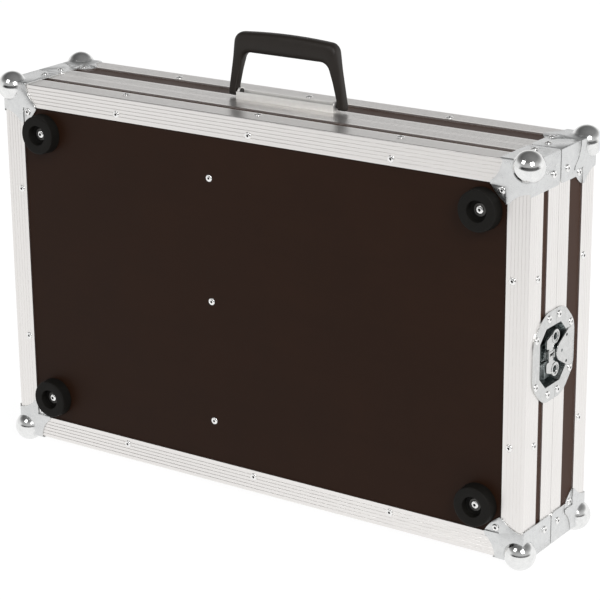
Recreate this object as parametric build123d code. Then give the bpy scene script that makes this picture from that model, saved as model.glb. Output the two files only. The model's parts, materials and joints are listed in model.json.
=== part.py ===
from build123d import *
import os
from math import radians, tan

# Flight case for a lighting controller, standing on one long side with its feet facing -Y.
# X runs along the long side, Y from the feet to the lid, Z up. Millimetres.
os.makedirs("parts", exist_ok=True)

# Closed case, measured over the aluminium profiles
case_width = 782.0
case_height = 492.0
base_depth = 67.5
lid_depth = 87.5
seam_gap = 0.4

# Phenolic faced birch plywood and the 30 mm double angle edge profile that holds its edges
ply = 7.0
leg = 30.0
leg_t = 2.0
inner_leg = 16.0
inner_t = 1.5
web = 12.0
edge_round = 1.5
groove_w = 0.9
groove_d = 0.35
groove_pitch = 4.6
groove_start = 5.6
leg_grooves = 5
rim_grooves = 4

# Closing profiles either side of the seam: the lid's tongue sits in the base's groove
rim_leg = 26.0
rim_inner_leg = 24.0
rim_body = 10.0
rim_lip = 12.0
tongue_from = 5.0
tongue_t = 4.0
tongue_len = 6.0
tongue_play = 0.5

# Pressed steel corners: a ball with three legs, and the braces on the lid's corners
steel_t = 1.5
ball_r = 19.5
ball_inset = 7.5
ear_root = 37.0
ear_tip_far = 54.0
ear_tip_near = 28.5
ear_hollow = (42.0, 16.5)
ear_brow = 43.5
ear_tip_round = 6.0
ear_rivet = 37.5
corner_leg = 40.0
corner_round = 6.0
corner_rivet_in = 25.0
corner_rivet_from_seam = 15.5
brace_rivet_from_seam = 17.0
crank_gap = 0.2
corner_end_gap = 1.0
brace_gap = 1.8

# Blind rivets
rivet_head_r = 4.75
rivet_head_h = 1.6
rivet_r = 2.4
rivet_mandrel_r = 1.3
rivet_well = 0.7
rivet_rim = 0.3
rivet_dome = (0.72, 0.78)
rivet_tail_r = 3.3
rivet_tail = 2.0
rivet_play = 0.05
rivet_in = 21.5
long_rivet_pitch = 205.0
short_rivet_pitch = 206.0

# Rubber feet
foot_r = 25.0
foot_base_r = 26.0
foot_h = 16.0
foot_floor = 5.5
foot_recess_r = 13.0
foot_in = 63.0
foot_round = 2.0
washer_r = 8.0
washer_t = 1.5
foot_rivet_head_r = 5.5

# Divider between the controller bay and the cable bay, and the foam lining
divider_x = -62.0
divider_below_seam = 11.0
divider_play = 0.2
divider_rivet_r = 1.6
divider_rivet_pitch = 161.5
divider_rivet_bite = 8.0
foam_t = 12.0
lid_foam_t = 20.0
foam_in = 27.0
foam_corner = 26.0
foam_side_gap = 0.5
foam_hole_r = 6.0

# Carrying handle and its bracket, on the lid's top wall
handle_from_seam = 18.5
bracket_w = 17.0
bracket_h = 9.0
bracket_half = 73.0
bracket_t = 2.0
lug_t = 2.5
lug_top = 13.0
pin_height = 8.0
pin_r = 3.0
handle_gap = 2.0
grip_leg_t = 12.5
grip_leg_w = 13.0
grip_top = 88.0
grip_bar = 28.0
grip_crown = 3.5
grip_lean = 13.6
grip_bar_leg = 11.0
grip_bar_w = 20.0
grip_out_r = 10.0
grip_in_r = 14.0
grip_round = 3.0
grip_straight = 15.0
pin_play = 0.05
bracket_rivet_x = 48.0
lug_half = 6.0
lug_round = 4.8
pin_head_r = 4.2
pin_head = 1.5
pin_bite = 9.5

# Recessed butterfly latch, split at the seam
flange_w = 102.0
flange_h = 112.0
flange_from_seam = -5.5
flange_cut = 27.0
flange_round = 32.0
flange_t = 1.5
pan_t = 1.2
pan_left = 39.5
pan_right = 26.0
pan_half = 36.5
pan_cut = 15.0
pan_depth = 13.5
pan_play = 0.15
spindle_from_seam = -8.0
latch_rivet_near = (12.0, 47.0)
latch_rivet_far = (42.0, 29.0)
shaft_r = 4.0
shaft_play = 0.05
collar_r = 6.0
collar_h = 1.6
cam_r = 6.5
cam_offset = 2.0
cam_play = 0.5
stack_gap = 0.1
hook_t = 1.5
hook_depth = 9.5
hook_lip = 3.0
hook_half = 12.0
hook_wall = 3.0
hook_nose_half = 8.0
hook_end = 15.0
hook_lip_t = 2.0
keeper_lip_h = 3.0
keeper_lip_t = 2.0
lip_play = 0.5
hub_r = 9.5
hub_top = -3.9
hub_bottom = -4.6
ear_in = 5.6
ear_out = 8.2
hub_ear_half = 5.6
hub_ear_top = 0.9
hub_ear_round = 1.9
wing_line = 3.0
wing_level = -1.5
wing_t = 2.4
knuckle_r = 2.2
wing_pin_r = 1.0
wing_play = 0.05
neck_play = 0.2
wing_clear = 8.3
wing_wide = 11.0
wing_wide_to = 20.0
wing_corner = 3.0
ring_at = (9.5, 20.5)
ring_r = 8.6
ring_hole_r = 4.4
ring_rim_r = 6.3
ring_rim_up = 0.9
ring_blend = (0.55, 0.8)
keeper_t = 1.5
keeper_nose_r = 12.5
keeper_nose_from_seam = 12.7
keeper_flare = (28.5, 23.5)
keeper_root = 36.0
keeper_hole_r = 1.9
keeper_hole = (24.0, 16.5)

# Places worked out from the sizes above
half_w = case_width / 2
half_h = case_height / 2
slot = leg_t + ply
inner = slot + inner_t
ball_out = ball_r - ball_inset
foot_out = foot_h - leg_t
case_depth = base_depth + lid_depth
y_front = (foot_out - case_depth - ball_out) / 2
y_back = y_front + case_depth
y_seam = y_front + base_depth
z_bottom = ball_out
z_top = z_bottom + case_height
z_mid = z_bottom + half_h
half_gap = seam_gap / 2
TURN = {"top": 0, "right": 90, "bottom": 180, "left": -90}


def save(name, shape):
    export_step(shape, f"parts/{name}.step")


def block(x0, x1, y0, y1, z0, z1):
    centre = Pos((x0 + x1) / 2, (y0 + y1) / 2, (z0 + z1) / 2)
    return centre * Box(abs(x1 - x0), abs(y1 - y0), abs(z1 - z0))


def outline(points, rounds=()):
    """Closed flat shape through the points, with the listed corners rounded."""
    face = make_face(Polyline(*points, close=True))
    for index, radius in rounds:
        corner = face.vertices().sort_by_distance((*points[index], 0))[0]
        face = fillet(corner, radius)
    return face


def plate(points, low, high, rounds=()):
    """Flat plate over the local XY plane, from height low to height high."""
    return Pos(0, 0, low) * extrude(outline(points, rounds), high - low, dir=(0, 0, 1))


def disc(r, low, high, x=0.0, y=0.0):
    return Pos(x, y, (low + high) / 2) * Cylinder(r, high - low)


def octagon(x0, x1, y1, cut):
    """Corner points of a rectangle, from -y1 to y1 across, with its corners cut off."""
    return [(x0, -y1 + cut), (x0 + cut, -y1), (x1 - cut, -y1), (x1, -y1 + cut),
            (x1, y1 - cut), (x1 - cut, y1), (x0 + cut, y1), (x0, y1 - cut)]


def place(face, u, v):
    """Spot on an outer face of the case, with the local +Z pointing away from the case."""
    return {
        "top": Pos(u, v, z_top), "bottom": Pos(u, v, z_bottom) * Rot(180, 0, 0),
        "right": Pos(half_w, v, u) * Rot(0, 90, 0), "left": Pos(-half_w, v, u) * Rot(0, -90, 0),
        "front": Pos(u, y_front, v) * Rot(90, 0, 0), "back": Pos(u, y_back, v) * Rot(-90, 0, 0),
    }[face]


def bar(points, side, rounded=False):
    """Run a section of (y, depth below the outer face) points along one side, mitred at both ends."""
    upright = side in ("left", "right")
    span, reach = (half_w, half_h) if upright else (half_h, half_w)
    section = outline([(y, span - depth) for y, depth in points], [(0, edge_round)] if rounded else ())
    run = extrude(Plane.YZ * section, reach, both=True)
    mitre = outline([(-reach - 1, span + 1), (reach + 1, span + 1),
                     (reach - 2 * leg, span - 2 * leg), (-reach + 2 * leg, span - 2 * leg)])
    run = run & extrude(Plane.XZ * mitre, 2 * case_depth, both=True)
    return Pos(0, 0, z_mid) * Rot(0, TURN[side], 0) * run


def around(corner):
    """A piece made for the lower left corner, copied to all four corners."""
    pair = [corner, mirror(corner, about=Plane.YZ)]
    upper = Plane(origin=(0, 0, z_mid), z_dir=(0, 0, 1))
    return pair + [mirror(piece, about=upper) for piece in pair]


# Sections of the extrusions, as (distance in from the panel face or the seam, depth)
def notches(count):
    points = []
    for i in range(count):
        at = groove_start + i * groove_pitch
        points += [(at - groove_w / 2, 0), (at, groove_d), (at + groove_w / 2, 0)]
    return points


def edge_section():
    cuts = notches(leg_grooves)
    return ([(0, 0)] + cuts
            + [(leg, 0), (leg, leg_t), (web, leg_t), (web, slot), (slot + inner_leg, slot),
               (slot + inner_leg, inner), (inner, inner), (inner, slot + inner_leg),
               (slot, slot + inner_leg), (slot, web), (leg_t, web), (leg_t, leg), (0, leg)]
            + [(depth, at) for at, depth in reversed(cuts)])


def rim_section(joint):
    return ([(half_gap, 0)] + notches(rim_grooves)
            + [(rim_leg, 0), (rim_leg, leg_t), (rim_body, leg_t), (rim_body, slot),
               (rim_inner_leg, slot), (rim_inner_leg, inner), (rim_body, inner),
               (rim_body, rim_lip), (half_gap, rim_lip)] + joint)


tongue_end = tongue_from + tongue_t
groove_floor = tongue_len + 2 * tongue_play
groove_joint = [(half_gap, tongue_end + tongue_play), (groove_floor, tongue_end + tongue_play),
                (groove_floor, tongue_from - tongue_play), (half_gap, tongue_from - tongue_play)]
tongue_joint = [(half_gap, tongue_end), (-tongue_len, tongue_end),
                (-tongue_len, tongue_from), (half_gap, tongue_from)]


# Blind rivets: each one is placed here once, and drills its own hole through what it holds
def rivet(seat, grip, head_r=rivet_head_r, shank_r=rivet_r, tail_r=rivet_tail_r):
    """Rivet on +Z: dimpled head above the seat, shank down to the grip, swollen tail below it."""
    top, well = seat + rivet_head_h, seat + rivet_head_h - rivet_well
    end = -grip if tail_r <= shank_r else -grip - rivet_tail
    shank = [(0, well), (0, end), (shank_r, end)]
    if end < -grip:
        shank = [(0, well), (0, end), (tail_r, end), (tail_r, -grip), (shank_r, -grip)]
    rise = Polyline(*shank, (shank_r, seat), (head_r, seat), (head_r, seat + rivet_rim))
    crown = (rivet_dome[0] * head_r, seat + rivet_dome[1] * rivet_head_h)
    dome = ThreePointArc((head_r, seat + rivet_rim), crown, (rivet_mandrel_r, top))
    dimple = Polyline((rivet_mandrel_r, top), (rivet_mandrel_r, well), (0, well))
    return revolve(Plane.XZ * make_face(rise + dome + dimple), Axis.Z)


RIVETS = {}
HOLES = []


def fix(group, face, u, v, seat, grip, head_r=rivet_head_r, shank_r=rivet_r, tail_r=rivet_tail_r):
    spot = place(face, u, v)
    RIVETS.setdefault(group, []).append(spot * rivet(seat, grip, head_r, shank_r, tail_r))
    beyond = 0.0 if tail_r <= shank_r else rivet_tail
    HOLES.append(spot * disc(shank_r + rivet_play, -grip - beyond, seat + rivet_head_h))


def drill(shape):
    """Cut the rivet holes that meet this piece."""
    box = shape.bounding_box()
    near = []
    for hole in HOLES:
        other = hole.bounding_box()
        if all(getattr(box.min, k) < getattr(other.max, k) and getattr(other.min, k) < getattr(box.max, k)
               for k in "XYZ"):
            near.append(hole)
    return shape - near if near else shape


rows = (-1, 1)
long_spots = (-long_rivet_pitch, 0.0, long_rivet_pitch)
short_spots = (z_mid - short_rivet_pitch / 2, z_mid + short_rivet_pitch / 2)
for group, panel_face, y_leg in (("base", "front", y_front + rivet_in), ("lid", "back", y_back - rivet_in)):
    for x in long_spots:
        fix(group, panel_face, x, z_top - rivet_in, 0, inner)
        fix(group, panel_face, x, z_bottom + rivet_in, 0, inner)
        fix(group, "top", x, y_leg, 0, inner)
        fix(group, "bottom", x, y_leg, 0, inner)
    for z in short_spots:
        for i in rows:
            fix(group, panel_face, i * (half_w - rivet_in), z, 0, inner)
        fix(group, "right", z, y_leg, 0, inner)
        fix(group, "left", z, y_leg, 0, inner)
    for i in rows:
        for k in rows:
            fix(group, panel_face, i * (half_w - ear_rivet), z_mid + k * (half_h - ear_rivet),
                steel_t - leg_t, slot)

y_corner = y_seam - corner_rivet_from_seam
y_brace = y_seam + brace_rivet_from_seam
y_ear = y_back - ear_rivet
for i in rows:
    for face in ("top", "bottom"):
        fix("base", face, i * (half_w - corner_rivet_in), y_corner, steel_t, inner)
        fix("lid", face, i * (half_w - corner_rivet_in), y_brace, steel_t, inner)
        fix("lid", face, i * (half_w - ear_rivet), y_ear, steel_t - leg_t, slot)
    for face in ("left", "right"):
        fix("base", face, z_mid + i * (half_h - corner_rivet_in), y_corner, steel_t, inner)
        fix("lid", face, z_mid + i * (half_h - corner_rivet_in), y_brace, steel_t, inner)
        fix("lid", face, z_mid + i * (half_h - ear_rivet), y_ear, steel_t - leg_t, slot)
    for face in ("left", "right"):
        near_z = z_mid + i * latch_rivet_near[1]
        far_z = z_mid + i * latch_rivet_far[1]
        y_latch = y_seam + flange_from_seam
        fix("base_latch", face, near_z, y_latch - latch_rivet_near[0], flange_t, inner)
        fix("base_latch", face, far_z, y_latch - latch_rivet_far[0], flange_t, inner)
        fix("lid_latch", face, near_z, y_latch + latch_rivet_near[0], flange_t, rim_lip)
        fix("lid_latch", face, far_z, y_latch + latch_rivet_far[0], flange_t, slot)

y_handle = y_seam + handle_from_seam
for i in rows:
    fix("handle_bracket", "top", i * bracket_rivet_x, y_handle, bracket_t, inner)
    fix("divider", "front", divider_x, z_mid + i * divider_rivet_pitch, -leg_t, slot + divider_rivet_bite,
        shank_r=divider_rivet_r, tail_r=divider_rivet_r)
    for k in rows:
        fix("foot", "front", i * (half_w - foot_in), z_mid + k * (half_h - foot_in),
            foot_floor + washer_t - leg_t, slot, head_r=foot_rivet_head_r)
fix("divider", "front", divider_x, z_mid, -leg_t, slot + divider_rivet_bite,
    shank_r=divider_rivet_r, tail_r=divider_rivet_r)

# The latch's own frame: X from the seam towards the lid, Y up, Z out of the side of the case
right_latch = Location(Plane(origin=(half_w, y_seam, z_mid), x_dir=(0, 1, 0), z_dir=(1, 0, 0)))
pan_inside = octagon(-pan_left, pan_right, pan_half, pan_cut)
pan_grow = pan_t * tan(radians(22.5))
pan_outside = octagon(-pan_left - pan_t, pan_right + pan_t, pan_half + pan_t, pan_cut + pan_grow)
pan_hole = octagon(-pan_left - pan_t - pan_play, pan_right + pan_t + pan_play,
                   pan_half + pan_t + pan_play, pan_cut + pan_grow)
window = right_latch * plate(pan_hole, -2 * pan_depth, 2 * flange_t)
WINDOWS = {"right": window, "left": mirror(window, about=Plane.YZ)}


def fitted(shape, side):
    """Cut the latch window and the rivet holes."""
    return drill(shape - WINDOWS[side] if side in WINDOWS else shape)


# The aluminium extrusions and the plywood walls, side by side
base_edge = [(y_front + a, b) for a, b in edge_section()]
lid_edge = [(y_back - a, b) for a, b in edge_section()]
base_rim = [(y_seam - a, b) for a, b in rim_section(groove_joint)]
lid_rim = [(y_seam + a, b) for a, b in rim_section(tongue_joint)]
base_wall_ends = (y_front + web, y_seam - rim_body)
lid_wall_ends = (y_seam + rim_body, y_back - web)
for side in TURN:
    save(f"base_edge_{side}", fitted(bar(base_edge, side, True), side))
    save(f"lid_edge_{side}", fitted(bar(lid_edge, side, True), side))
    save(f"base_rim_{side}", fitted(bar(base_rim, side), side))
    save(f"lid_rim_{side}", fitted(bar(lid_rim, side), side))
    for half, (y0, y1) in (("base", base_wall_ends), ("lid", lid_wall_ends)):
        board = bar([(y0, leg_t), (y1, leg_t), (y1, slot), (y0, slot)], side)
        save(f"{half}_wall_{side}", fitted(board, side))

# Flat angles that carry the corner steels between the edge profile and the closing profile
for half, y0, y1 in (("base", y_front + leg, y_seam - rim_leg), ("lid", y_seam + rim_leg, y_back - leg)):
    post = block(-half_w, -half_w + leg, y0, y1, z_bottom, z_bottom + leg) - block(
        -half_w + leg_t, half_w, y0 - 1, y1 + 1, z_bottom + leg_t, z_top)
    save(f"{half}_corner_posts", Compound(around(post)))


# Steel corners, made with the corner of the case at the origin and the case in the positive octant
def fan(grow=0.0, edge=steel_t):
    """Outline of a ball corner's ear, spreading from the corner to two rounded lobes."""
    root, far = ear_root + grow, ear_tip_far + grow
    bend = (ear_hollow[0] + grow, ear_hollow[1])
    rise = (Polyline((-edge, root), (-edge, -edge), (root, -edge), (root, 0))
            + ThreePointArc((root, 0), bend, (far, ear_tip_near))
            + ThreePointArc((far, ear_tip_near), (ear_brow + grow, ear_brow + grow), (ear_tip_near, far))
            + ThreePointArc((ear_tip_near, far), bend[::-1], (0, root)) + Line((0, root), (-edge, root)))
    face = make_face(rise)
    for tip in ((far, ear_tip_near), (ear_tip_near, far)):
        corner = face.vertices().sort_by_distance((*tip, 0))[0]
        face = fillet(corner, ear_tip_round)
    return face


def ear():
    """Ear on the face whose outside is -Z, cranked down on to the panel beyond the profile's legs."""
    step = leg + crank_gap
    far = 2 * ear_tip_far
    body = Pos(0, 0, -steel_t) * extrude(fan(), steel_t + leg_t, dir=(0, 0, 1))
    body = body - (block(-far, step, -far, far, 0, far) + block(-far, far, -far, step, 0, far))
    return body - block(step + steel_t, far, step + steel_t, far, -far, leg_t - steel_t)


def turned(shape, times):
    """Turn about the corner's diagonal, so that X becomes Y, Y becomes Z and Z becomes X."""
    return shape.rotate(Axis((0, 0, 0), (1, 1, 1)), 120 * times)


octant = block(0, 3 * leg, 0, 3 * leg, 0, 3 * leg)
skin = block(-steel_t, case_depth, -steel_t, case_depth, -steel_t, case_depth)
outer_edges = [edge for edge in skin.edges()
               if sum(abs(c + steel_t) < 0.01 for c in tuple(edge.center())) == 2]
skin = fillet(outer_edges, edge_round + steel_t / 2)
ball_centre = Pos(ball_inset, ball_inset, ball_inset)
ball = ball_centre * Sphere(ball_r) - octant
hollow = ball_centre * Sphere(ball_r - steel_t)


def corner_angle(y0, y1):
    """Steel angle over the long edge of the corner, from depth y0 to y1, with rounded far corners."""
    lower = plate([(-steel_t, y0), (corner_leg, y0), (corner_leg, y1), (-steel_t, y1)], -steel_t, 0,
                  [(2, corner_round)])
    upright = plate([(y0, -steel_t), (y0, corner_leg), (y1, corner_leg), (y1, -steel_t)], -steel_t, 0,
                    [(2, corner_round)])
    return lower + turned(upright, 1)


base_plates = corner_angle(-steel_t, base_depth - corner_end_gap) + turned(ear(), 2)
lid_plates = ear() + turned(ear(), 1) + turned(ear(), 2)
base_ball = (base_plates & skin) + ball - hollow
lid_ball = (lid_plates & skin) + ball - hollow
clear_ear = Pos(0, 0, -3 * steel_t) * extrude(fan(brace_gap, 3 * steel_t), 6 * steel_t, dir=(0, 0, 1))
brace = (corner_angle(ear_root, lid_depth - corner_end_gap) & skin) - clear_ear - turned(clear_ear, 1)

to_front = Pos(-half_w, y_front, z_bottom)
to_back = Pos(-half_w, y_back, z_bottom)
save("base_ball_corners", Compound([drill(piece) for piece in around(to_front * base_ball)]))
lid_ball = to_back * mirror(lid_ball, about=Plane.XZ)
brace = to_back * mirror(brace, about=Plane.XZ)
save("lid_ball_corners", Compound([drill(piece) for piece in around(lid_ball)]))
save("lid_corner_braces", Compound([drill(piece) for piece in around(brace)]))

# Panels, held in the slots of the edge profiles
for half, y0, y1 in (("base", y_front + leg_t, y_front + slot), ("lid", y_back - slot, y_back - leg_t)):
    save(f"{half}_panel", drill(block(-half_w + web, half_w - web, y0, y1, z_bottom + web, z_top - web)))

# Rubber feet, each with a washer sunk in its middle
feet, washers = [], []
foot_face = foot_h - leg_t
foot_well = foot_floor - leg_t
foot_profile = [(0, -leg_t), (foot_base_r, -leg_t), (foot_r, foot_face), (foot_recess_r, foot_face),
                (foot_recess_r, foot_well), (0, foot_well)]
foot = revolve(Plane.XZ * outline(foot_profile, [(2, foot_round)]), Axis.Z)
for i in rows:
    for k in rows:
        spot = place("front", i * (half_w - foot_in), z_mid + k * (half_h - foot_in))
        feet.append(drill(spot * foot))
        washers.append(drill(spot * disc(washer_r, foot_well, foot_well + washer_t)))
save("rubber_feet", Compound(feet))
save("foot_washers", Compound(washers))

# Divider, notched round the profiles' inner legs
clear_leg = slot + inner_leg + divider_play
clear_t = inner + divider_play
rim_start = base_depth - rim_inner_leg - divider_play
half_divider = [(slot, clear_leg), (clear_t, clear_leg), (clear_t, clear_t), (clear_leg, clear_t),
                (clear_leg, slot), (rim_start, slot), (rim_start, clear_t),
                (base_depth - divider_below_seam, clear_t)]
divider_points = ([(y_front + a, z_bottom + b) for a, b in half_divider]
                  + [(y_front + a, z_top - b) for a, b in reversed(half_divider)])
divider = Pos(divider_x, 0, 0) * extrude(Plane.YZ * outline(divider_points), ply / 2, both=True)
save("divider", drill(divider))


# Foam pads, with their corners cut off to clear the ball corners' rivets
def pad(x0, x1, y0, y1, cut):
    """Foam pad between two depths; cut lists the ends, -1 and 1, whose corners are cut off."""
    z0, z1 = z_bottom + foam_in, z_top - foam_in
    left = foam_corner if -1 in cut else 0
    right = foam_corner if 1 in cut else 0
    points = [(x0 + left, z0), (x1 - right, z0), (x1, z0 + right), (x1, z1 - right), (x1 - right, z1),
              (x0 + left, z1), (x0, z1 - left), (x0, z0 + left)]
    distinct = [p for k, p in enumerate(points) if p != points[k - 1]]
    return Pos(0, y1, 0) * extrude(Plane.XZ * outline(distinct), y1 - y0)


foam_end = half_w - foam_in
beside = ply / 2 + foam_side_gap
pads = [pad(-foam_end, divider_x - beside, y_front + slot, y_front + slot + foam_t, (-1,)),
        pad(divider_x + beside, foam_end, y_front + slot, y_front + slot + foam_t, (1,))]
wells = [place("front", i * (half_w - foot_in), z_mid + k * (half_h - foot_in))
         * disc(foam_hole_r, -slot - 2 * foam_t, 0) for i in rows for k in rows]
save("base_foam", Compound([piece - wells for piece in pads]))
save("lid_foam", pad(-foam_end, foam_end, y_back - slot - lid_foam_t, y_back - slot, (-1, 1)))

# Carrying handle: a steel bracket on the lid's top wall, two pins and a moulded grip
at_handle = Pos(0, y_handle, z_top)
half_b = bracket_w / 2
half_trough = half_b - bracket_t
trough_end = bracket_half - lug_t
bracket = block(-bracket_half, bracket_half, -half_b, half_b, 0, bracket_h)
bracket = bracket - block(-trough_end, trough_end, -half_trough, half_trough, bracket_t, 2 * bracket_h)
pins = []
for i in rows:
    across = Rot(0, 90 * i, 0)
    face_at = Pos(0, 0, pin_height) * across
    lug = block(i * (bracket_half - lug_t), i * bracket_half, -lug_half, lug_half, 0, lug_top)
    lug = fillet(lug.edges().filter_by(Axis.X).sort_by(Axis.Z)[-2:], lug_round)
    pin_hole = face_at * disc(pin_r + pin_play, bracket_half - 2 * lug_t, bracket_half + lug_t)
    bracket = bracket + lug - pin_hole
    head = disc(pin_head_r, bracket_half - lug_t - pin_head, bracket_half - lug_t)
    shank = disc(pin_r, bracket_half - lug_t, bracket_half + handle_gap + pin_bite)
    pins.append(at_handle * face_at * (head + shank))
save("handle_bracket", drill(at_handle * bracket))
save("handle_pins", Compound(pins))

foot_in_x = bracket_half + handle_gap
foot_out_x = foot_in_x + grip_leg_w
top_out_x = foot_out_x - grip_lean
top_in_x = top_out_x - grip_bar_leg
shoulder = grip_top - grip_crown
opening_top = grip_top - grip_bar
right_shoulder, left_shoulder = (top_out_x, shoulder), (-top_out_x, shoulder)
rise = (Polyline(left_shoulder, (-foot_out_x, pin_height), (foot_out_x, pin_height), right_shoulder)
        + ThreePointArc(right_shoulder, (0, grip_top), left_shoulder))
solid_arch = make_face(rise)
shoulders = solid_arch.vertices().sort_by(Axis.Y)[-2:]
solid_arch = fillet(shoulders, grip_out_r)
opening = outline([(-foot_in_x, -pin_height), (foot_in_x, -pin_height), (foot_in_x, grip_straight),
                   (top_in_x, opening_top), (-top_in_x, opening_top), (-foot_in_x, grip_straight)],
                  [(3, grip_in_r), (4, grip_in_r)])
arch = solid_arch - opening
legs = extrude(Plane.XZ * arch, grip_leg_t / 2, both=True)
rail = block(-foot_out_x, foot_out_x, -grip_bar_w / 2, grip_bar_w / 2, opening_top, grip_top)
rail = fillet(rail.edges().filter_by(Axis.X), grip_round)
bar_part = extrude(Plane.XZ * arch, grip_bar_w, both=True) & rail
grip = legs + bar_part
for i in rows:
    face_at = Pos(0, 0, pin_height) * Rot(0, 90 * i, 0)
    grip = grip + face_at * disc(grip_leg_t / 2, foot_in_x, foot_out_x)
    grip = grip - face_at * disc(pin_r + pin_play, 0, foot_in_x + pin_bite + handle_gap)
save("handle_grip", at_handle * grip)

# Latch, made in its own frame on the right and mirrored to the left
x_turn = spindle_from_seam
pan_floor = -pan_depth
flange = octagon(flange_from_seam - flange_w / 2, flange_from_seam + flange_w / 2, flange_h / 2, flange_cut)
dish = plate(flange, 0, flange_t, [(k, flange_round) for k in range(8)])
dish = dish + plate(pan_outside, pan_floor - pan_t, 0) - plate(pan_inside, pan_floor, 2 * flange_t)
base_dish = dish & block(-flange_w, -half_gap, -flange_h, flange_h, -2 * pan_depth, pan_depth)
base_dish = base_dish - disc(shaft_r + shaft_play, -2 * pan_depth, 0, x_turn)
keeper_dish = dish & block(half_gap, flange_w, -flange_h, flange_h, -2 * pan_depth, pan_depth)

# Keeper tongue over the lid's half of the dish, and the lip on its floor that the hook pulls on
nose = Vector(keeper_nose_from_seam, 0)
flare = Vector(*keeper_flare)
reach = flare - nose
lean = Axis.Z.direction.cross(reach).normalized()
cosine = keeper_nose_r / reach.length
touch = nose + reach.normalized() * (keeper_nose_r * cosine) + lean * (
    keeper_nose_r * (1 - cosine ** 2) ** 0.5)
tongue = [(touch.X, touch.Y), keeper_flare, (keeper_root, keeper_flare[1]), (keeper_root, -keeper_flare[1]),
          (keeper_flare[0], -keeper_flare[1]), (touch.X, -touch.Y)]
tongue_top = flange_t + keeper_t
tongue = plate(tongue, flange_t, tongue_top) + disc(keeper_nose_r, flange_t, tongue_top, nose.X)
for x, y in ((nose.X, 0.0), keeper_hole, (keeper_hole[0], -keeper_hole[1])):
    tongue = tongue - disc(keeper_hole_r, 0, 3 * flange_t, x, y)
lip_at = hook_end - hook_lip_t - lip_play
lip = block(lip_at - keeper_lip_t, lip_at, -hook_half, hook_half, pan_floor, pan_floor + keeper_lip_h)
keeper_dish = keeper_dish + tongue + lip

collar_top = pan_floor - pan_t - stack_gap
spindle = disc(collar_r, collar_top - collar_h, collar_top, x_turn) + disc(
    shaft_r, collar_top - collar_h, pan_floor + stack_gap, x_turn)
spindle = spindle + disc(cam_r, pan_floor + stack_gap, hub_bottom, x_turn - cam_offset) + disc(
    hub_r, hub_bottom, hub_top, x_turn)
for i in rows:
    near, far = x_turn + i * ear_in, x_turn + i * ear_out
    cheek = block(near, far, -hub_ear_half, hub_ear_half, hub_bottom, hub_ear_top)
    cheek = fillet(cheek.edges().filter_by(Axis.X).sort_by(Axis.Z)[-2:], hub_ear_round)
    spindle = spindle + cheek
pin_lines = [Pos(x_turn, i * wing_line, wing_level) * Rot(0, 90, 0) for i in rows]
spindle = spindle - [at * disc(wing_pin_r + wing_play, -2 * ear_out, 2 * ear_out) for at in pin_lines]

hook_back = x_turn - cam_offset - cam_r - cam_play - hook_wall
hook = plate([(hook_back, -hook_half), (x_turn + cam_r, -hook_half), (hook_end, -hook_nose_half),
              (hook_end, hook_nose_half), (x_turn + cam_r, hook_half), (hook_back, hook_half)],
             -hook_depth, hook_t - hook_depth, [(0, hook_wall), (5, hook_wall)])
hook = hook + block(hook_end - hook_lip_t, hook_end, -hook_nose_half, hook_nose_half,
                    -hook_depth - hook_lip, hook_t - hook_depth)
cam_slot_x = cam_r + cam_play
cam_slot_y = cam_r + cam_offset + cam_play
cam_x = x_turn - cam_offset
hook = hook - block(cam_x - cam_slot_x, cam_x + cam_slot_x, -cam_slot_y, cam_slot_y, -2 * hook_depth, 0)

# One wing of the pair: a barrel between the spindle's ears, a neck, a wide shoulder and a finger ring
neck = ear_in - neck_play
low, high = wing_level - wing_t / 2, wing_level + wing_t / 2
ring_x, ring_y = x_turn + ring_at[0], ring_at[1]
along, across = ring_blend[0] * ring_r, ring_blend[1] * ring_r
wing = plate([(x_turn - neck, wing_line), (x_turn + neck, wing_line), (x_turn + neck, wing_clear),
              (ring_x + along, ring_y - across), (ring_x, ring_y), (ring_x - across, ring_y + along),
              (x_turn - wing_wide, wing_wide_to), (x_turn - wing_wide, wing_clear),
              (x_turn - neck, wing_clear)], low, high, [(6, wing_corner), (7, wing_corner)])
wing = wing + disc(ring_r, low, high + ring_rim_up, ring_x, ring_y)
wing = wing - disc(ring_rim_r, high, high + ring_rim_up, ring_x, ring_y)
wing = wing - disc(ring_hole_r, 2 * low, -low, ring_x, ring_y)
barrel = pin_lines[1] * disc(knuckle_r, -neck, neck)
wing = wing + barrel - pin_lines[1] * disc(wing_pin_r + wing_play, -2 * neck, 2 * neck)
wing_pins = [at * disc(wing_pin_r, -ear_out, ear_out) for at in pin_lines]

latch = {"latch_dish": base_dish, "keeper_dish": keeper_dish, "latch_spindle": spindle,
         "latch_hook": hook, "wing_upper": wing, "wing_lower": mirror(wing, about=Plane.XZ),
         "wing_pins": Compound(wing_pins)}
for name, piece in latch.items():
    right = drill(right_latch * piece)
    save(f"{name}_right", right)
    save(f"{name}_left", mirror(right, about=Plane.YZ))

for group, pieces in RIVETS.items():
    save(f"{group}_rivets", Compound(pieces))
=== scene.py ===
import json
from math import copysign, cos, pi, radians, sin, tan

import bmesh
import bpy
from mathutils import Matrix, Vector

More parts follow.
